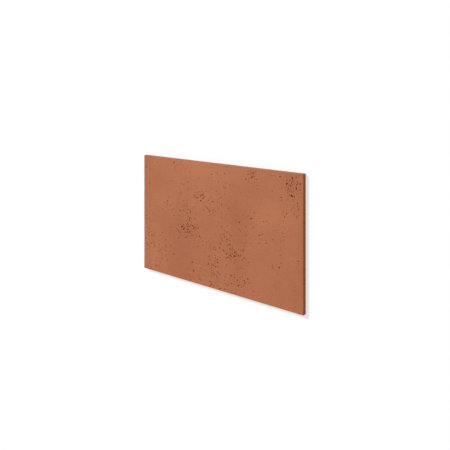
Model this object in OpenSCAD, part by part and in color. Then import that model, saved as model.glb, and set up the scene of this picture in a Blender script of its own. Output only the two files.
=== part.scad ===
// Cast concrete wall panel: one slab with an eased arris round its finished face, and
// the air pores that bubbles left where they were trapped against the mould.
// It lies on its back with the finished face up. Millimetres, +Z up, and the origin is
// the centre of the back face. X runs along the length and Y along the width.

/* [Panel] */
// Length of the panel
panel_length = 1000; // [700:10:1300]
// Width of the panel
panel_width = 600; // [450:10:800]
// Thickness of the panel
panel_thickness = 20; // [16:1:40]
// Width and height of the eased arris round the finished face
arris = 1; // [0.5:0.25:2]

/* [Air pores] */
// Diameter of the smallest pore, at its mouth
pore_smallest = 2.8; // [2.4:0.1:3.4]
// Diameter of the largest pore, at its mouth
pore_largest = 8; // [5:0.5:9]
// Least wall of concrete between two pores
pore_wall = 0.5; // [0.3:0.1:2]
// Number of pores tried in each of the four sides, for each metre of its length
side_pores = 14; // [0:1:30]
// Number of pores tried in the arris, for each metre of its length
arris_pores = 7; // [0:1:12]
// Choice of the random pore pattern
pore_pattern = 3; // [1:1:60]

/* [Hidden] */
$fn = 32;

// A bubble's centre stands above the concrete by a share of its radius. Where the share
// is below zero, the pore is wider inside than at its mouth.
LOWEST_CENTRE = -0.3;
HIGHEST_CENTRE = 0.3;
// Most pores are small: a random number to this power is a pore's share of the sizes.
SMALL_BIAS = 2;
// Shares of the drifts' pores that are two bubbles run together, and three.
TWIN_SHARE = 0.2;
TRIPLET_SHARE = 0.04;
// The second and third bubble of a pore have a radius and stand off the first one's
// centre by shares of its radius, and they lie this far apart round it, so that these
// two never touch each other.
SECOND_RADIUS = [0.65, 0.85];
SECOND_STEP = [0.9, 1.2];
SECOND_TURN = 160;
// Largest pore in a side and in the arris, at its mouth.
SIDE_PORE = 5;
ARRIS_PORE = 5;
// How far out of the arris and above it a bubble's centre is there, of its radius.
ARRIS_CENTRE = 0.15;
// The least distance of those from the panel's corners.
CORNER_CLEAR = 12;
// The numbers of the sides' and the arris' pores are for this length.
METRE = 1000;
// The sides' pores lie between these shares of the thickness.
SIDE_BAND = [0.3, 0.65];
// Outward directions of the four sides.
SIDES = [[1, 0], [0, 1], [-1, 0], [0, -1]];

// Pores that stand out in the finished face. Each row holds the pore's place as shares
// of the length and the width, the diameter of its first bubble as a share of the size
// range, and how many smaller bubbles run into that one, in which direction.
STANDING_OUT = [
    // The corner at +X +Y
    [0.940, 0.835, 1.0, 1, -20], [0.955, 0.830, 0.6, 0, 0], [0.915, 0.915, 0.9, 1, 10],
    [0.935, 0.905, 0.6, 1, -50], [0.965, 0.890, 0.6, 1, 60], [0.945, 0.960, 0.7, 2, 120],
    [0.985, 0.925, 0.7, 1, 80], [0.970, 0.940, 0.5, 0, 0], [0.880, 0.960, 0.7, 1, 100],
    [0.915, 0.700, 0.5, 1, 40], [0.893, 0.550, 0.3, 0, 0],
    // Along the side at +Y, from +X to -X
    [0.690, 0.910, 0.6, 0, 0], [0.720, 0.925, 0.4, 1, 30], [0.705, 0.950, 0.4, 0, 0],
    [0.730, 0.960, 0.3, 0, 0], [0.700, 0.970, 0.3, 0, 0], [0.595, 0.945, 0.3, 0, 0],
    [0.560, 0.930, 0.3, 1, 10], [0.515, 0.925, 0.5, 0, 0], [0.480, 0.910, 0.4, 1, 20],
    [0.525, 0.860, 0.4, 0, 0], [0.595, 0.845, 0.4, 1, 60], [0.325, 0.820, 0.4, 1, 200],
    [0.285, 0.955, 0.3, 0, 0], [0.225, 0.965, 0.6, 2, 45],
    // The upper half, from +X to -X
    [0.740, 0.665, 0.3, 0, 0], [0.720, 0.615, 0.7, 2, -30], [0.755, 0.575, 0.3, 0, 0],
    [0.790, 0.610, 0.3, 1, -10], [0.650, 0.575, 0.4, 0, 0], [0.545, 0.580, 0.4, 1, -50],
    [0.545, 0.690, 0.3, 0, 0], [0.530, 0.700, 0.3, 0, 0], [0.490, 0.690, 0.4, 0, 0],
    [0.490, 0.630, 0.4, 0, 0], [0.445, 0.640, 0.3, 0, 0], [0.430, 0.720, 0.5, 0, 0],
    [0.415, 0.730, 0.4, 1, 40], [0.420, 0.705, 0.3, 0, 0], [0.365, 0.720, 0.5, 1, 20],
    [0.375, 0.745, 0.3, 0, 0], [0.385, 0.705, 0.4, 1, -20], [0.315, 0.670, 0.3, 1, 15],
    [0.290, 0.660, 0.4, 0, 0], [0.360, 0.615, 0.3, 0, 0], [0.225, 0.580, 0.4, 0, 0],
    [0.200, 0.595, 0.4, 1, 70], [0.225, 0.520, 0.3, 1, 10],
    // The thick drift below the middle at -X
    [0.335, 0.525, 0.8, 1, -15], [0.280, 0.440, 0.9, 1, 10], [0.365, 0.450, 0.6, 1, 150],
    [0.320, 0.475, 0.6, 1, 60], [0.345, 0.470, 0.5, 0, 0], [0.245, 0.410, 0.4, 1, 20],
    [0.335, 0.400, 0.5, 1, 170], [0.305, 0.355, 0.5, 0, 0], [0.400, 0.395, 0.5, 1, -70],
    [0.420, 0.355, 0.3, 0, 0], [0.425, 0.325, 0.3, 0, 0],
    // The thick drift below the middle at +X
    [0.555, 0.325, 0.9, 0, 0], [0.620, 0.300, 0.9, 1, 10], [0.575, 0.305, 0.6, 1, -30],
    [0.600, 0.300, 0.5, 0, 0], [0.530, 0.335, 0.5, 1, 35], [0.505, 0.315, 0.4, 1, 30],
    [0.530, 0.260, 0.4, 0, 0], [0.565, 0.440, 0.4, 0, 0], [0.575, 0.415, 0.4, 1, 20],
    [0.590, 0.455, 0.3, 0, 0], [0.595, 0.380, 0.5, 1, -30], [0.600, 0.345, 0.4, 0, 0],
    [0.660, 0.320, 0.4, 0, 0], [0.675, 0.365, 0.4, 0, 0], [0.670, 0.290, 0.3, 0, 0],
    // The right-hand middle
    [0.805, 0.455, 0.5, 1, 10], [0.765, 0.440, 0.4, 0, 0], [0.765, 0.500, 0.5, 1, 20],
    [0.685, 0.420, 0.3, 0, 0], [0.720, 0.430, 0.3, 0, 0], [0.695, 0.480, 0.2, 0, 0],
    [0.875, 0.295, 0.8, 0, 0], [0.840, 0.290, 0.3, 1, -20], [0.975, 0.375, 0.4, 0, 0],
    // The lower quarter, from +X to -X
    [0.675, 0.220, 0.4, 0, 0], [0.735, 0.070, 0.4, 0, 0], [0.700, 0.150, 0.6, 1, 60],
    [0.670, 0.160, 0.4, 0, 0], [0.680, 0.130, 0.6, 0, 0], [0.645, 0.080, 0.6, 1, 50],
    [0.640, 0.120, 0.5, 0, 0], [0.605, 0.080, 0.4, 1, 50], [0.585, 0.065, 0.4, 0, 0],
    [0.510, 0.180, 0.4, 0, 0], [0.460, 0.185, 0.6, 1, 110], [0.495, 0.115, 0.5, 1, 30],
    [0.405, 0.110, 0.4, 0, 0], [0.410, 0.045, 0.4, 0, 0], [0.350, 0.165, 0.6, 1, -30],
    [0.480, 0.030, 0.6, 1, 60], [0.470, 0.015, 0.5, 0, 0], [0.520, 0.030, 0.5, 0, 0],
    [0.535, 0.020, 0.5, 1, -30], [0.245, 0.160, 0.3, 0, 0], [0.175, 0.125, 0.5, 1, -15],
    // Along the side at -X
    [0.205, 0.260, 0.3, 0, 0], [0.165, 0.240, 0.4, 1, 40], [0.125, 0.200, 0.4, 0, 0],
    [0.140, 0.350, 0.4, 0, 0], [0.090, 0.045, 0.5, 1, 10], [0.025, 0.215, 0.4, 1, 10],
    [0.055, 0.310, 0.3, 0, 0], [0.025, 0.445, 0.4, 0, 0],
];

// Drifts of smaller pores in the finished face. Each row holds the drift's place as
// shares of the length and the width, its reach in mm along both, the number of pores
// tried in it, and its largest pore as a share of the size range.
DRIFTS = [
    // The three thick drifts: the corner at +X +Y, and two below the middle
    [0.950, 0.890, 44, 50, 46, 0.5], [0.300, 0.420, 66, 36, 42, 0.5], [0.600, 0.330, 86, 38, 52, 0.5],
    // Thinner ones beside them
    [0.960, 0.750, 36, 40, 12, 0.4], [0.340, 0.490, 34, 18, 6, 0.4], [0.570, 0.420, 36, 26, 9, 0.4],
    [0.410, 0.370, 14, 36, 4, 0.4], [0.520, 0.240, 24, 40, 5, 0.4],
    // The upper half
    [0.720, 0.950, 36, 26, 12, 0.4], [0.240, 0.960, 44, 20, 8, 0.3], [0.540, 0.920, 80, 16, 4, 0.3],
    [0.570, 0.820, 60, 36, 4, 0.3], [0.390, 0.710, 46, 30, 12, 0.4], [0.910, 0.700, 24, 10, 3, 0.3],
    [0.310, 0.640, 60, 56, 9, 0.3], [0.200, 0.600, 55, 46, 8, 0.3], [0.460, 0.640, 70, 60, 9, 0.3],
    [0.780, 0.620, 70, 36, 8, 0.3], [0.880, 0.600, 34, 60, 4, 0.3],
    // The lower half
    [0.060, 0.340, 58, 64, 15, 0.3], [0.150, 0.190, 70, 50, 11, 0.3], [0.110, 0.060, 36, 16, 4, 0.3],
    [0.450, 0.190, 38, 18, 9, 0.4], [0.500, 0.030, 50, 12, 6, 0.4], [0.460, 0.090, 80, 26, 6, 0.3],
    [0.680, 0.130, 54, 36, 15, 0.4], [0.610, 0.075, 36, 20, 4, 0.3], [0.660, 0.220, 36, 24, 4, 0.3],
    [0.760, 0.450, 74, 36, 7, 0.3], [0.850, 0.300, 50, 22, 4, 0.3], [0.980, 0.380, 18, 40, 4, 0.3],
];

// Radius of the bubble that leaves a mouth of this diameter, with its centre above the
// concrete by the share "centre" of that radius.
function bubble_radius(diameter, centre) = diameter / 2 / sqrt(1 - centre * centre);

// A random number from 0 to 1 brought to the range from low to high.
function between(chance, low, high) = low + (high - low) * chance;

// Two random numbers from 0 to 1 as one from -1 to 1 that gathers round zero.
function gathered(a, b) = a + b - 1;

// Rows of random numbers from 0 to 1.
function chances(rows, columns, seed) =
    let (all = rands(0, 1, rows * columns, seed))
    [for (i = [0 : 1 : rows - 1]) [for (k = [0 : columns - 1]) all[i * columns + k]]];

// A bubble that opens through the finished face, as [its centre, its radius].
function face_bubble(x, y, centre, radius) = [[x, y, panel_thickness + centre * radius], radius];

// A pore is [its first bubble's centre, the reach of all its bubbles from there, the
// bubbles, their turn]. The turn points each sphere's pole straight into the concrete,
// or lays its poles along the arris, clear of the concrete.
function pore(bubbles, turn) =
    [bubbles[0][0], max([for (b = bubbles) norm(b[0] - bubbles[0][0]) + b[1]]), bubbles, turn];

// A pore in the finished face: its first bubble, and up to two smaller ones that run
// into it, the first of them in a direction. Two random numbers shape them.
function face_pore(x, y, diameter, centre, beside, direction, chance) =
    let (
        radius = bubble_radius(diameter, centre),
        small = radius * between(chance[0], SECOND_RADIUS[0], SECOND_RADIUS[1]),
        step = radius * between(chance[1], SECOND_STEP[0], SECOND_STEP[1])
    )
    pore([
        face_bubble(x, y, centre, radius),
        for (i = [1 : 1 : beside])
            let (a = direction + (i - 1) * SECOND_TURN)
            face_bubble(x + step * cos(a), y + step * sin(a), centre, small)
    ], [0, 0, 0]);

// The pores that stand out. Their bubbles' centres lie at or below the surface.
function standing_pores(seed) =
    let (chance = chances(len(STANDING_OUT), 3, seed))
    [for (i = [0 : len(STANDING_OUT) - 1])
        let (s = STANDING_OUT[i], c = chance[i])
        face_pore(
            (s[0] - 0.5) * panel_length,
            (s[1] - 0.5) * panel_width,
            between(s[2], pore_smallest, pore_largest),
            LOWEST_CENTRE * c[0],
            s[3], s[4], [c[1], c[2]]
        )];

// Pores of one drift.
function drift_pores(drift, seed) =
    [for (c = chances(drift[4], 10, seed))
        face_pore(
            (drift[0] - 0.5) * panel_length + drift[2] * gathered(c[0], c[1]),
            (drift[1] - 0.5) * panel_width + drift[3] * gathered(c[2], c[3]),
            between(drift[5] * pow(c[4], SMALL_BIAS), pore_smallest, pore_largest),
            between(c[5], LOWEST_CENTRE, HIGHEST_CENTRE),
            c[6] < TRIPLET_SHARE ? 2 : c[6] < TRIPLET_SHARE + TWIN_SHARE ? 1 : 0,
            360 * c[7], [c[8], c[9]]
        )];

// Length of a side, from its outward direction.
function side_length(out) = abs(out[0]) * panel_width + abs(out[1]) * panel_length;

// A random number from 0 to 1 as a place along a side, clear of the side's two ends.
function along_side(chance, out) = (chance - 0.5) * (1 - 2 * CORNER_CLEAR / side_length(out));

// A point of a side, from its place along the side as a share from -0.5 to 0.5, how far
// it is out of the side's plane, and its height.
function side_point(out, along, outside, height) = [
    out[0] * (panel_length / 2 + outside) - out[1] * along * panel_length,
    out[1] * (panel_width / 2 + outside) + out[0] * along * panel_width,
    height
];

// Pores in one side, each of one bubble.
function pores_of_side(out, seed) =
    [for (c = chances(round(side_pores * side_length(out) / METRE), 4, seed))
        let (
            centre = between(c[0], LOWEST_CENTRE, HIGHEST_CENTRE),
            diameter = between(pow(c[1], SMALL_BIAS), pore_smallest, SIDE_PORE),
            radius = bubble_radius(diameter, centre),
            height = panel_thickness * between(c[2], SIDE_BAND[0], SIDE_BAND[1])
        )
        pore(
            [[side_point(out, along_side(c[3], out), centre * radius, height), radius]],
            [0, 90, atan2(out[1], out[0])]
        )];

// Pores that open through the arris above one side, each of one bubble.
function pores_of_arris(out, seed) =
    [for (c = chances(round(arris_pores * side_length(out) / METRE), 2, seed))
        let (
            radius = between(c[0], pore_smallest, ARRIS_PORE) / 2,
            outside = ARRIS_CENTRE * radius - arris / 2
        )
        pore(
            [[side_point(out, along_side(c[1], out), outside, panel_thickness + outside), radius]],
            [90, -45, atan2(out[1], out[0])]
        )];

// Whether a pore keeps its wall to another one.
function walled(a, b) = norm(a[0] - b[0]) > a[1] + b[1] + pore_wall;

// How far in from the panel's corners and from the arris a point of the finished face is.
function inside_arris(p) =
    min(panel_length / 2 - abs(p[0]), panel_width / 2 - abs(p[1])) - arris;

// All the pores that were tried, and those of them that keep their walls to the earlier
// ones. Pores of the finished face also keep a wall to the arris.
TRIED = [
    for (i = [0 : len(SIDES) - 1]) each pores_of_arris(SIDES[i], 1000 * pore_pattern + i),
    for (p = standing_pores(1000 * pore_pattern + 10))
        if (inside_arris(p[0]) > p[1] + pore_wall) p,
    for (i = [0 : len(DRIFTS) - 1])
        for (p = drift_pores(DRIFTS[i], 1000 * pore_pattern + 20 + i))
            if (inside_arris(p[0]) > p[1] + pore_wall) p,
    for (i = [0 : len(SIDES) - 1]) each pores_of_side(SIDES[i], 1000 * pore_pattern + 100 + i)
];
PORES = [
    for (i = [0 : len(TRIED) - 1])
        if (i == 0 || len([for (j = [0 : i - 1]) if (!walled(TRIED[i], TRIED[j])) j]) == 0) TRIED[i]
];

// The plain slab, with the arris eased off all round its finished face.
module slab() {
    difference() {
        translate([-panel_length / 2, -panel_width / 2, 0])
            cube([panel_length, panel_width, panel_thickness]);
        for (out = SIDES)
            translate(side_point(out, 0, 0, panel_thickness))
                rotate([0, 0, atan2(out[1], out[0])])
                    rotate([0, 45, 0])
                        cube([arris * sqrt(2), side_length(out) + 2, arris * sqrt(2)], center = true);
    }
}

module panel() {
    color("peru")
        difference() {
            slab();
            for (p = PORES, b = p[2])
                translate(b[0])
                    rotate(p[3])
                        sphere(r = b[1]);
        }
}

panel();
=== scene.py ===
import math
import random

import bmesh
import bpy
import numpy as np
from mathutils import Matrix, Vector


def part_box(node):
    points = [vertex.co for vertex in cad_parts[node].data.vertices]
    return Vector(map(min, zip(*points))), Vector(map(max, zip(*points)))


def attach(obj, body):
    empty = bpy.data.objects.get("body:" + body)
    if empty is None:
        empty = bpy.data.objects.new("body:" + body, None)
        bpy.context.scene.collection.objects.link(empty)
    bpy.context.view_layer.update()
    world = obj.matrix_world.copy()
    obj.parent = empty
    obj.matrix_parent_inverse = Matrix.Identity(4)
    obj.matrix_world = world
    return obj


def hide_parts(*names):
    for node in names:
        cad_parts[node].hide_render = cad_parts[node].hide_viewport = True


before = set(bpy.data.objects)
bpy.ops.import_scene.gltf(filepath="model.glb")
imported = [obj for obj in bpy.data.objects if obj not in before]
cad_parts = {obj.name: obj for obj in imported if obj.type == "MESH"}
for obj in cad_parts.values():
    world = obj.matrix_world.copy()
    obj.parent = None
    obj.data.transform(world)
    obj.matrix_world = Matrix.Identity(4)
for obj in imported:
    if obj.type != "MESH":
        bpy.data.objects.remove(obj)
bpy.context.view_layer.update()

# ---------------------------------------------------------------- camera
# It looks down on the finished face from beyond the short side at +X, with the
# panel's +Y side at the top of the picture.
CAMERA_TILT = math.radians(40.4)    # how far it leans from overhead towards +X
CAMERA_PLACE = (1.891, 0.698, 2.166)
CAMERA_LENS = 47.84
CAMERA_SHIFT = -0.3216

camera = bpy.data.objects.new("camera", bpy.data.cameras.new("camera"))
camera.data.lens = CAMERA_LENS
camera.data.shift_y = CAMERA_SHIFT
camera.location = CAMERA_PLACE
camera.rotation_euler = (0, CAMERA_TILT, 0)
bpy.context.scene.collection.objects.link(camera)
bpy.context.scene.camera = camera

# ---------------------------------------------------------------- panel
# One slab of terracotta-coloured concrete, cast face down in a smooth mould, which
# left a flat matt face. Air trapped against the mould left open pores, and taking
# the slab out of the mould wore its arris a little.
LOW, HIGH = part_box("panel")
LENGTH, WIDTH, THICK = HIGH - LOW
HALF_LENGTH = LENGTH / 2
HALF_WIDTH = WIDTH / 2
COLUMN = 0.003                      # spacing of the outline's columns
BACK_ARRIS = 0.0004
ARRIS = 0.001                       # width of the eased arris before any wear
ARRIS_STEPS = 3                     # flats across the arris
chance = random.Random(17)

# Wear of the arris, in widths of a new one: its mean, how far it wanders over a hand's
# breadth and over a fingertip, and small bites where a third wave rises above a start
WEAR = 1.15
SLOW_WEAR = 0.3
QUICK_WEAR = 0.25
BITE_START = 1.15
BITE_RISE = 0.8                     # the most of that wave's rise that counts
BITE_SIZE = 3                       # width of a bite for a rise of 1
WEAR_LIMITS = (0.5, 3)


def waves(count, longest, shortest):
    """A smooth random function of points in rows, from about -1 to 1, made of plane waves."""
    made = []
    for _ in range(count):
        length = longest * (shortest / longest) ** chance.random()
        direction = np.array([chance.gauss(0, 1) for _ in range(3)])
        wave = direction / np.linalg.norm(direction) * math.tau / length
        made.append((wave, chance.uniform(0, math.tau)))

    def value(points):
        return sum(np.sin(points @ wave + phase) for wave, phase in made) * math.sqrt(2 / count) / 2
    return value


def outline():
    """Points all round the slab's plan, a column apart, with each of the four corners among them."""
    corners = [
        (-HALF_LENGTH, -HALF_WIDTH), (HALF_LENGTH, -HALF_WIDTH),
        (HALF_LENGTH, HALF_WIDTH), (-HALF_LENGTH, HALF_WIDTH),
    ]
    points = []
    for start, end in zip(corners, corners[1:] + corners[:1]):
        count = round(math.dist(start, end) / COLUMN)
        points += [np.array(start) + (np.array(end) - start) * i / count for i in range(count)]
    return np.array(points)


def worn_arris(plan):
    """Width of the arris at each point of the outline."""
    flat = np.c_[plan, np.zeros(len(plan))]
    slow = waves(count=12, longest=0.2, shortest=0.03)(flat)
    quick = waves(count=20, longest=0.03, shortest=0.006)(flat)
    rise = waves(count=30, longest=0.09, shortest=0.012)(flat)
    wear = WEAR + SLOW_WEAR * slow + QUICK_WEAR * quick
    bites = BITE_SIZE * np.clip(rise - BITE_START, 0, BITE_RISE)
    return ARRIS * np.clip(wear + bites, *WEAR_LIMITS)


def slab():
    """The slab without its pores: rings from the back to the worn arris, capped at both ends."""
    plan = outline()
    eased = worn_arris(plan)
    rings = [(np.full(len(plan), BACK_ARRIS), 0), (np.zeros(len(plan)), BACK_ARRIS)]
    for step in range(ARRIS_STEPS + 1):
        angle = math.pi / 2 * step / ARRIS_STEPS
        rings.append((eased * (1 - math.cos(angle)), THICK - eased * (1 - math.sin(angle))))
    bm = bmesh.new()
    rows = []
    for inset, height in rings:
        x = np.clip(plan[:, 0], inset - HALF_LENGTH, HALF_LENGTH - inset)
        y = np.clip(plan[:, 1], inset - HALF_WIDTH, HALF_WIDTH - inset)
        z = np.broadcast_to(height, len(plan)) + LOW.z
        rows.append([bm.verts.new(point) for point in zip(x, y, z)])
    for lower, upper in zip(rows, rows[1:]):
        for i in range(len(plan)):
            bm.faces.new((lower[i - 1], lower[i], upper[i], upper[i - 1]))
    bm.faces.new(reversed(rows[0]))
    bm.faces.new(rows[-1])
    mesh = bpy.data.meshes.new("panel_skin")
    bm.to_mesh(mesh)
    bm.free()
    return mesh


def patches(mesh):
    """The points of each separate smooth patch of a mesh."""
    points = np.empty(3 * len(mesh.vertices))
    mesh.vertices.foreach_get("co", points)
    ends = np.empty(2 * len(mesh.edges), int)
    mesh.edges.foreach_get("vertices", ends)
    one_end, other_end = ends.reshape(-1, 2).T
    label = np.arange(len(mesh.vertices))
    settled = False
    while not settled:
        lower = label.copy()
        lowest = np.minimum(label[one_end], label[other_end])
        np.minimum.at(lower, one_end, lowest)
        np.minimum.at(lower, other_end, lowest)
        lower = lower[lower]
        settled = (lower == label).all()
        label = lower
    order = np.argsort(label, kind="stable")
    return np.split(points.reshape(-1, 3)[order], np.flatnonzero(np.diff(label[order])) + 1)


FLAT = 2e-6                         # a patch whose points are this close to one plane is flat


def cast_bubbles():
    """Centre and radius of every bubble that cut the solid. Each left one patch of a sphere in it."""
    found = []
    for patch in patches(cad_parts["panel"].data):
        middle = patch.mean(axis=0)
        points = patch - middle
        # The faces, the sides and the stretches of the arris are flat patches.
        if np.linalg.svd(points, compute_uv=False)[-1] >= FLAT * math.sqrt(len(points)):
            rows = np.c_[2 * points, np.ones(len(points))]
            fit = np.linalg.lstsq(rows, (points ** 2).sum(axis=1), rcond=None)[0]
            found.append((fit[:3] + middle, math.sqrt(fit[3] + fit[:3] @ fit[:3])))
    return sorted(found, key=lambda bubble: tuple(bubble[0].round(4)))


# Fine pores, too small for the solid. They gather in the same drifts as the larger ones:
# each drift has a place and a reach, as shares of the length and the width, and a number
# of pores. The rest are scattered. Radii are in metres.
DRIFTS = [
    (0.95, 0.88, 0.033, 0.060, 86), (0.93, 0.73, 0.030, 0.06, 6), (0.98, 0.60, 0.020, 0.10, 4),
    (0.29, 0.42, 0.040, 0.045, 70), (0.37, 0.46, 0.025, 0.030, 50), (0.33, 0.54, 0.020, 0.04, 36),
    (0.28, 0.63, 0.035, 0.07, 58), (0.18, 0.62, 0.030, 0.05, 16), (0.41, 0.71, 0.030, 0.028, 60),
    (0.34, 0.79, 0.040, 0.04, 14), (0.53, 0.70, 0.045, 0.05, 34), (0.41, 0.61, 0.040, 0.04, 20),
    (0.43, 0.36, 0.020, 0.05, 12), (0.59, 0.29, 0.048, 0.035, 74), (0.57, 0.39, 0.040, 0.04, 30),
    (0.49, 0.20, 0.030, 0.045, 46), (0.47, 0.13, 0.035, 0.05, 36), (0.52, 0.03, 0.060, 0.03, 48),
    (0.36, 0.08, 0.035, 0.05, 44), (0.66, 0.11, 0.040, 0.040, 38), (0.04, 0.40, 0.030, 0.06, 36),
    (0.04, 0.27, 0.030, 0.05, 48), (0.15, 0.19, 0.035, 0.06, 56), (0.08, 0.04, 0.030, 0.03, 42),
    (0.02, 0.18, 0.020, 0.05, 22), (0.72, 0.95, 0.025, 0.030, 20), (0.54, 0.88, 0.040, 0.05, 14),
    (0.24, 0.96, 0.030, 0.03, 10), (0.28, 0.88, 0.030, 0.05, 8), (0.67, 0.50, 0.025, 0.05, 22),
    (0.75, 0.61, 0.035, 0.04, 10), (0.78, 0.48, 0.030, 0.05, 8), (0.88, 0.60, 0.025, 0.08, 8),
    (0.86, 0.29, 0.030, 0.03, 6), (0.05, 0.85, 0.035, 0.09, 16), (0.56, 0.48, 0.035, 0.06, 28),
    (0.10, 0.50, 0.060, 0.08, 6), (0.94, 0.30, 0.040, 0.15, 4), (0.78, 0.86, 0.030, 0.05, 6),
    (0.13, 0.05, 0.030, 0.04, 16), (0.29, 0.95, 0.025, 0.04, 10), (0.92, 0.82, 0.025, 0.050, 24),
]
FINE_FREE = 80                      # scattered over the face
FINE_SIDES = 160                    # in the four sides
FINE_RADIUS = (0.0009, 0.0029)
FINE_BIAS = 1.7                     # above 1, small pores are the most common
FINE_SINK = (-0.3, 0.4)             # height of a bubble's centre over the face, in radii
SIDE_BAND = (0.12, 0.85)            # of the thickness: where the sides have pores
EDGE_CLEAR = 0.0035                 # fine pores of the face keep this far inside its edges
NICKS = 60
NICK_RADIUS = (0.0008, 0.0022)
NICK_OUT = 0.45                     # how far out of the arris a nick's bubble sits, in radii


def fine_radius():
    small, large = FINE_RADIUS
    return small + (large - small) * chance.random() ** FINE_BIAS


def face_places():
    """Places of the fine pores of the face, of which some fall outside it."""
    places = [
        (chance.uniform(-HALF_LENGTH, HALF_LENGTH), chance.uniform(-HALF_WIDTH, HALF_WIDTH))
        for _ in range(FINE_FREE)
    ]
    for across, up, reach_x, reach_y, count in DRIFTS:
        for _ in range(count):
            x = chance.gauss(across - 0.5, reach_x) * LENGTH
            y = chance.gauss(up - 0.5, reach_y) * WIDTH
            places.append((x, y))
    return places


def fine_bubbles():
    """Bubbles of the fine pores in the face and the sides, and nicks in the arris."""
    bubbles = []
    for x, y in face_places():
        if abs(x) < HALF_LENGTH - EDGE_CLEAR and abs(y) < HALF_WIDTH - EDGE_CLEAR:
            radius = fine_radius()
            height = HIGH.z + chance.uniform(*FINE_SINK) * radius
            bubbles.append((np.array([x, y, height]), radius))
    around = outline()
    for i in chance.sample(range(len(around)), FINE_SIDES):
        radius = fine_radius()
        height = LOW.z + THICK * chance.uniform(*SIDE_BAND)
        bubbles.append((np.array([*around[i], height]), radius))
    for i in chance.sample(range(len(around)), NICKS):
        radius = chance.uniform(*NICK_RADIUS)
        # One step out of each side that the place is on, and one up
        outward = np.array([*(around[i] / (HALF_LENGTH, HALF_WIDTH)).round(6).astype(int), 1])
        bubbles.append((np.array([*around[i], HIGH.z]) + outward * radius * NICK_OUT, radius))
    return bubbles


LAYER_GAP = 1.75                    # bubbles of a layer are this many times their radii apart


def in_layers(bubbles):
    """The bubbles in a few layers, in which no two touch, so that each layer cuts in one go."""
    centres = np.array([centre for centre, _ in bubbles])
    radii = np.array([radius for _, radius in bubbles])
    layer = np.full(len(bubbles), -1)
    for i in range(len(bubbles)):
        near = np.linalg.norm(centres[:i] - centres[i], axis=1) < LAYER_GAP * (radii[:i] + radii[i])
        taken = set(layer[:i][near])
        layer[i] = next(n for n in range(len(bubbles)) if n not in taken)
    return [[bubbles[i] for i in np.flatnonzero(layer == n)] for n in range(layer.max() + 1)]


def ball(rounds):
    """Corners and triangles of a ball of radius 1."""
    bm = bmesh.new()
    bmesh.ops.create_icosphere(bm, subdivisions=rounds, radius=1)
    corners = np.array([v.co for v in bm.verts])
    triangles = np.array([[v.index for v in f.verts] for f in bm.faces])
    bm.free()
    return corners, triangles


BALLS = {rounds: ball(rounds) for rounds in (1, 2, 3)}
COARSE_BALL = 0.0013                # radius up to which a bubble gets the coarsest ball
FINE_BALL = 0.0026                  # radius above which it gets the finest
UNEVEN = 0.26                       # how far a hollow's wall wanders, in radii
MOST_STRETCH = 0.5                  # how much longer than wide a hollow may be


def hollows(bubbles):
    """One mesh of uneven hollows, one for each bubble."""
    corners, triangles, count = [], [], 0
    for centre, radius in bubbles:
        ball_corners, ball_triangles = BALLS[1 + (radius > COARSE_BALL) + (radius > FINE_BALL)]
        turn = chance.uniform(0, math.pi)
        along = np.array([math.cos(turn), math.sin(turn), 0])
        stretch = chance.uniform(0, MOST_STRETCH)
        swell = 1 + UNEVEN * waves(count=6, longest=4, shortest=1.1)(ball_corners)
        shape = ball_corners * swell[:, None]
        shape = shape + np.outer(shape @ along, along) * stretch
        corners.append(shape * radius / (1 + stretch / 2) + centre)
        triangles.append(ball_triangles + count)
        count += len(ball_corners)
    mesh = bpy.data.meshes.new("hollows")
    mesh.from_pydata(np.concatenate(corners).tolist(), [], np.concatenate(triangles).tolist())
    return mesh


def cut(piece, mesh):
    """Takes the mesh's volume out of the piece."""
    cutter = bpy.data.objects.new("cutter", mesh)
    bpy.context.scene.collection.objects.link(cutter)
    boolean = piece.modifiers.new("cut", "BOOLEAN")
    boolean.operation = "DIFFERENCE"
    boolean.solver = "MANIFOLD"
    boolean.object = cutter
    bpy.context.view_layer.update()
    whole = piece.evaluated_get(bpy.context.evaluated_depsgraph_get())
    piece.data = bpy.data.meshes.new_from_object(whole)
    piece.modifiers.clear()
    bpy.data.objects.remove(cutter)


SPECK = 0.000002                    # an edge this short goes when the cutting is done
CRISP = math.radians(48)            # edges that turn more than this stay sharp
LEVEL = 0.99999                     # a face whose normal is this much along an axis is flat


def shade(mesh):
    """Smooth inside the hollows and round the arris, with crisp mouths and flat faces kept flat."""
    bm = bmesh.new()
    bm.from_mesh(mesh)
    bmesh.ops.triangulate(bm, faces=bm.faces)
    bmesh.ops.dissolve_degenerate(bm, dist=SPECK, edges=bm.edges)
    for face in bm.faces:
        face.smooth = True
    level = {face: max(abs(c) for c in face.normal) > LEVEL for face in bm.faces}
    for edge in bm.edges:
        beside = {level[face] for face in edge.link_faces}
        edge.smooth = len(beside) == 1 and edge.calc_face_angle(0) < CRISP
    bm.to_mesh(mesh)
    bm.free()


panel = bpy.data.objects.new("panel_skin", slab())
bpy.context.scene.collection.objects.link(panel)
for layer in in_layers(cast_bubbles() + fine_bubbles()):
    cut(panel, hollows(layer))
shade(panel.data)
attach(panel, "root")
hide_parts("panel")

BEND = 0.12                         # how far, in metres, the soft patches of the face are bent,
BEND_SIZE = 0.2                     # and the size of the noise that bends them


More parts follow.
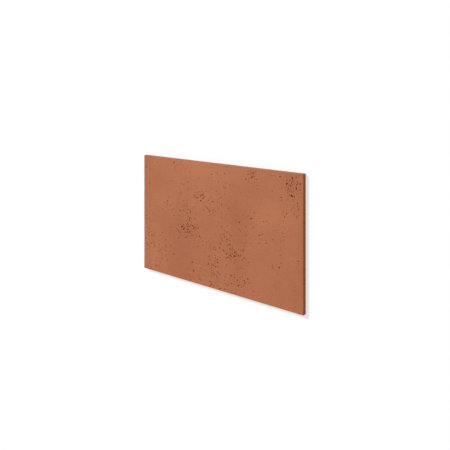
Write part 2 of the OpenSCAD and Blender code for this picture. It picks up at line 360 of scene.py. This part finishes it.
class Wire:
    """One output of a shader node. Arithmetic on it adds Math nodes to its tree."""

    def __init__(self, tree, socket=None):
        self.tree = tree
        self.socket = socket

    def node(self, kind, settings=None, inputs=None, output=0):
        """Adds a node, applies its settings, feeds its inputs and returns one of its outputs."""
        made = self.tree.nodes.new("ShaderNode" + kind)
        for name, value in (settings or {}).items():
            setattr(made, name, value)
        for name, value in (inputs or {}).items():
            if isinstance(value, Wire):
                self.tree.links.new(value.socket, made.inputs[name])
            else:
                made.inputs[name].default_value = value
        return Wire(self.tree, made.outputs[output])

    def math(self, operation, *values):
        return self.node("Math", {"operation": operation}, dict(enumerate(values)))

    def __add__(self, other):
        return self.math("ADD", self, other)

    def __sub__(self, other):
        return self.math("SUBTRACT", self, other)

    def __rsub__(self, other):
        return self.math("SUBTRACT", other, self)

    def __mul__(self, other):
        return self.math("MULTIPLY", self, other)

    __radd__ = __add__
    __rmul__ = __mul__

    def __abs__(self):
        return self.math("ABSOLUTE", self)

    def least(self, other):
        return self.math("MINIMUM", self, other)

    def most(self, other):
        return self.math("MAXIMUM", self, other)

    def eased(self, start, end, low=0.0, high=1.0):
        """Goes smoothly from low to high as the value goes from start to end."""
        inputs = {0: self, 1: start, 2: end, 3: low, 4: high}
        return self.node("MapRange", {"interpolation_type": "SMOOTHSTEP"}, inputs)

    def axis(self, name):
        """One number of a vector: X, Y or Z."""
        return self.node("SeparateXYZ", {}, {0: self}, output=name)

    def moved(self, by):
        """A vector plus a vector."""
        return self.node("VectorMath", {"operation": "ADD"}, {0: self, 1: by})

    def scaled(self, by):
        """A vector times a vector, each axis by itself."""
        return self.node("VectorMath", {"operation": "MULTIPLY"}, {0: self, 1: by})

    def noise(self, size, detail=2.0, roughness=0.5, output="Fac"):
        """Soft noise from 0 to 1, with features of about this size in metres."""
        inputs = {"Vector": self, "Scale": 1 / size, "Detail": detail, "Roughness": roughness}
        return self.node("TexNoise", {}, inputs, output)

    def drift(self, strength, size, detail=2.0, roughness=0.5):
        """Soft noise round 0, from half the strength below it to half above."""
        return (self.noise(size, detail, roughness) - 0.5) * strength

    def patch(self, across, up, reach_x, reach_y, strength):
        """A soft patch of the finished face round a place given as shares of its length and width."""
        centre_x = (across - 0.5) * LENGTH + BEND / 2
        centre_y = (up - 0.5) * WIDTH + BEND / 2
        away = self.moved((-centre_x, -centre_y, 0))
        away = away.scaled((1 / (reach_x * LENGTH), 1 / (reach_y * WIDTH), 0))
        distance = away.node("VectorMath", {"operation": "LENGTH"}, {0: away}, output="Value")
        return distance.eased(0, 1, low=strength, high=0)

    def between(self, one, other):
        """The colour from one to the other by this value."""
        return self.node("Mix", {"data_type": "RGBA"}, {0: self, 6: one, 7: other}, output=2)


# Terracotta concrete: its tone drifts in soft clouds between a paler and a deeper red
# brown. Each cloud that stands out has a place and a reach, as shares of the length and
# the width, and a strength.
PALE_TONE = (0.488, 0.182, 0.089)
DEEP_TONE = (0.365, 0.119, 0.056)
YELLOWER = (1.0, 1.009, 0.974)      # the tone also drifts a little in hue between these
PINKER = (1.0, 0.991, 1.026)
SIDE_SHARE = (1.13, 0.93, 0.91)     # of the face's tone: the sides are a warmer red
BACK_SHARE = (1.08, 1.25, 1.42)     # the screeded back is paler and duller
LIP_AND_HIGHLIGHT_TONE = (0.600, 0.235, 0.085)    # a pore's lip and the arris, part paler and part painted highlight, then a pore's walls and its bottom, in painted shade
INNER_SHADE_TONE = (0.335, 0.070, 0.006)
HOLLOW_SHADE_TONE = (0.115, 0.020, 0.001)
LIP_HIGHLIGHT_SHARE = 0.5                     # how much of the lip's own tone it shows
CLOUDS = [
    (0.38, 0.97, 0.32, 0.28, 0.40), (0.05, 0.28, 0.13, 0.50, 0.28), (0.16, 0.64, 0.18, 0.16, 0.16),
    (0.83, 0.66, 0.15, 0.17, 0.30), (0.27, 0.20, 0.16, 0.55, -0.22), (0.64, 0.62, 0.11, 0.28, -0.24),
    (0.64, 0.27, 0.09, 0.22, -0.18), (1.00, 0.40, 0.08, 0.80, -0.22), (0.95, 0.92, 0.10, 0.20, -0.07),
    (0.03, 0.47, 0.16, 0.22, -0.24), (0.42, 0.70, 0.12, 0.16, 0.14), (0.66, 0.98, 0.14, 0.18, 0.16),
    (0.58, 0.73, 0.06, 0.10, -0.12), (0.66, 0.42, 0.12, 0.13, -0.19), (0.40, 0.08, 0.10, 0.12, 0.12),
    (0.10, 0.08, 0.09, 0.13, 0.18), (0.92, 0.14, 0.14, 0.38, -0.18), (0.63, 0.12, 0.06, 0.12, -0.14),
    (0.74, 0.28, 0.12, 0.25, -0.08), (0.02, 0.92, 0.08, 0.14, -0.14), (0.15, 0.89, 0.10, 0.08, -0.10),
    (0.33, 0.48, 0.08, 0.10, 0.10), (0.14, 0.41, 0.10, 0.22, -0.14), (0.54, 0.39, 0.09, 0.13, -0.16),
    (0.40, 0.29, 0.07, 0.08, -0.10), (0.54, 0.82, 0.10, 0.20, 0.09), (0.30, 0.03, 0.07, 0.07, -0.15),
]

# Where each part of a pore begins to show and where it shows fully, in metres of depth: the lip, partly a
# painted highlight, and the painted shade of the walls and bottom. Then the same for the sides, in metres
# below the face, and the back, in metres above it
LIP_HIGHLIGHT_DEPTH = (0.00003, 0.00015)
LIP_HIGHLIGHT_END = (0.0006, 0.0002)
INNER_SHADE_DEPTH = (0.0001, 0.0005)
HOLLOW_SHADE_DEPTH = (0.0004, 0.0015)
SIDE_DEPTH = (0.0009, 0.0012)
BACK_HEIGHT = (0.0002, 0.0001)

concrete = bpy.data.materials.new("concrete")
concrete.use_nodes = True
tree = concrete.node_tree
shader = tree.nodes["Principled BSDF"]
place = Wire(tree).node("TexCoord", output="Object")
below_face = HIGH.z - place.axis("Z")
above_back = place.axis("Z") - LOW.z
depth = below_face.least(HALF_LENGTH - abs(place.axis("X"))).least(HALF_WIDTH - abs(place.axis("Y")))
back = above_back.eased(*BACK_HEIGHT)
inner_shade = depth.eased(*INNER_SHADE_DEPTH) * (1 - back)
hollow_shade = depth.eased(*HOLLOW_SHADE_DEPTH) * (1 - back)
side = below_face.eased(*SIDE_DEPTH) * (1 - inner_shade)
lip_and_highlight = depth.eased(*LIP_HIGHLIGHT_DEPTH) * depth.eased(*LIP_HIGHLIGHT_END)

# The tone, from 0, deep, to 1, pale: wide drifts, the clouds, then mottling down to grit
STREAKED = (1, 0.25, 1)             # the face's faint streaks are long along Y
tone = 0.5 + place.drift(size=0.16, strength=0.5, detail=3)
tone = tone + place.drift(size=0.05, strength=0.35, detail=4, roughness=0.6)
bent = place.moved(place.noise(size=BEND_SIZE, output="Color").scaled((BEND, BEND, 0)))
for across, up, reach_x, reach_y, strength in CLOUDS:
    tone = tone + bent.patch(across, up, reach_x, reach_y, strength)
tone = tone + place.drift(size=0.006, strength=1.1, detail=3, roughness=0.6)
tone = tone + place.scaled(STREAKED).drift(size=0.011, strength=0.2)
tone = tone + place.drift(size=0.0016, strength=0.45, detail=3, roughness=0.7)

# Pinholes under a millimetre wide, thick where the larger pores gather, shown as specks of painted
# shade and pressed in by the bump: each cell of a grid draws a lot, and has a pinhole in its middle if
# the crowd there is above it.
PINHOLE_SPACING = 0.0035
PINHOLE_RIM = (0.24, 0.12)          # from the middle of a cell, as shares of the spacing
PINHOLE_FADE = 0.05                 # a lot this far below the crowd gives a full pinhole
STRAY_CROWD = 0.25
CROWDED = 30                        # a drift of this many pores also holds pinholes
CROWD_REACH = 2.4                   # of the drift's own reach
FULL_CROWD = 120_000                # pores by the product of the reaches, for a crowd of 1
MOST_CROWDED = 0.6
PINHOLE_SHADE = 0.5                  # how much of the hollows' painted shade a pinhole shows
crowd = place.noise(size=0.07).eased(0.45, 0.75, high=STRAY_CROWD)
for across, up, reach_x, reach_y, count in DRIFTS:
    if count >= CROWDED:
        share = min(MOST_CROWDED, count / (reach_x * reach_y) / FULL_CROWD)
        crowd = crowd.most(bent.patch(across, up, CROWD_REACH * reach_x, CROWD_REACH * reach_y, share))
cells = {"Vector": place, "Scale": 1 / PINHOLE_SPACING, "Randomness": 1.0}
off_middle = place.node("TexVoronoi", {}, cells, output="Distance")
lot = place.node("SeparateColor", {}, {0: place.node("TexVoronoi", {}, cells, output="Color")})
pinhole = off_middle.eased(*PINHOLE_RIM) * (crowd - lot).eased(0, PINHOLE_FADE) * (1 - back)

HUE_APART = (0.3, 0.7, 0.1)         # the hue reads its noise this far off, apart from the tone
DRAWN = (0.12, 1, 1)                # the screed was drawn along X
hue = place.moved(HUE_APART).noise(size=0.08, detail=3, roughness=0.6).eased(0.2, 0.8)
screeded = place.scaled(DRAWN).noise(size=0.016, detail=4, roughness=0.6)
colour = tone.between((*DEEP_TONE, 1), (*PALE_TONE, 1))
colour = hue.between(colour.scaled(PINKER), colour.scaled(YELLOWER))
colour = (back * screeded.eased(0.25, 0.75, low=0.3)).between(colour, colour.scaled(BACK_SHARE))
# The pores' lips and the arris: paler in part, and in part a painted highlight of their lit rims
colour = (LIP_HIGHLIGHT_SHARE * lip_and_highlight).between(colour, (*LIP_AND_HIGHLIGHT_TONE, 1))
colour = side.between(colour, colour.scaled(SIDE_SHARE))
# Painted shade: the pores' walls and bottoms, and the pinholes, darken with depth in place of the shade
# that falls into them
colour = inner_shade.most(pinhole).between(colour, (*INNER_SHADE_TONE, 1))
colour = hollow_shade.most(PINHOLE_SHADE * pinhole).between(colour, (*HOLLOW_SHADE_TONE, 1))
tree.links.new(colour.socket, shader.inputs["Base Color"])

# A matt surface, a little rougher at the back, with a fine grain, low swells, the marks
# of the screed on the back, and the pinholes pressed in
ROUGHNESS = 0.80
BACK_ROUGHER = 0.1
SWELLS = 0.6                        # heights, as shares of the grain's
SCREED_MARKS = 4
BACK_GRAIN = 2
PINHOLE_DEPTH = 1.2
rough = ROUGHNESS + place.drift(size=0.004, strength=0.16) + BACK_ROUGHER * back
tree.links.new(rough.socket, shader.inputs["Roughness"])
shader.inputs["Specular IOR Level"].default_value = 0.2
relief = place.noise(size=0.0012, detail=4, roughness=0.65) + SWELLS * place.noise(size=0.02)
relief = relief + back * (SCREED_MARKS * screeded + BACK_GRAIN * place.noise(size=0.003, detail=3))
relief = relief - PINHOLE_DEPTH * pinhole
bump = {"Strength": 0.35, "Distance": 0.0006, "Height": relief}
tree.links.new(relief.node("Bump", {}, bump, output="Normal").socket, shader.inputs["Normal"])
panel.data.materials.clear()
panel.data.materials.append(concrete)

# ---------------------------------------------------------------- floor and light
# A wide white floor under the panel, open sky light and one soft lamp from beyond the
# side at -X +Y, which puts the panel's shadow at +X -Y.
FLOOR_REACH = 60
FLOOR_ALBEDO = 0.6
FLOOR_GLOW = 0.58                   # share of the floor's own white in what is seen of it
SKY = 0.47
SUN_FROM = Vector((-0.5, 0.55, 0.6))
SUN_SHARE = 0.54                    # of the light that a level white sheet gets
SUN_SOFT = math.radians(18)

floor_mesh = bpy.data.meshes.new("floor")
around = [(-1, -1), (1, -1), (1, 1), (-1, 1)]
floor_mesh.from_pydata([(i * FLOOR_REACH, j * FLOOR_REACH, LOW.z) for i, j in around], [], [(0, 1, 2, 3)])
floor = bpy.data.objects.new("floor", floor_mesh)
bpy.context.scene.collection.objects.link(floor)
paint = bpy.data.materials.new("floor")
paint.use_nodes = True
floor_tree = paint.node_tree


def seen_directly(tree):
    """1 for what the camera sees, also in a mirror or through glass, and 0 for light between surfaces."""
    path = Wire(tree)
    camera_ray = path.node("LightPath", output="Is Camera Ray")
    glossy_ray = path.node("LightPath", output="Is Glossy Ray")
    through_glass = path.node("LightPath", output="Is Transmission Ray")
    return camera_ray.most(glossy_ray).most(through_glass)


floor_tree.nodes.remove(floor_tree.nodes["Principled BSDF"])
seen = seen_directly(floor_tree)
white = seen.between((FLOOR_ALBEDO, FLOOR_ALBEDO, FLOOR_ALBEDO, 1), (1, 1, 1, 1))
sheet = seen.node("BsdfDiffuse", {}, {"Color": white})
glow = seen.node("Emission", {}, {"Color": (1, 1, 1, 1), "Strength": 1})
lit = seen.node("MixShader", {}, {0: seen * FLOOR_GLOW, 1: sheet, 2: glow})
floor_tree.links.new(lit.socket, floor_tree.nodes["Material Output"].inputs["Surface"])
floor_mesh.materials.append(paint)

world = bpy.data.worlds.new("sky")
world.use_nodes = True
bpy.context.scene.world = world
brightness = SKY + (1 - SKY) * seen_directly(world.node_tree)
sky = world.node_tree.nodes["Background"]
sky.inputs["Color"].default_value = (1, 1, 1, 1)
world.node_tree.links.new(brightness.socket, sky.inputs["Strength"])

sun = bpy.data.objects.new("sun", bpy.data.lights.new("sun", "SUN"))
sun.data.angle = SUN_SOFT
sun.data.energy = SUN_SHARE * math.pi / SUN_FROM.normalized().z
sun.rotation_euler = SUN_FROM.to_track_quat("Z", "Y").to_euler()
bpy.context.scene.collection.objects.link(sun)

bpy.context.scene.view_settings.view_transform = "Standard"
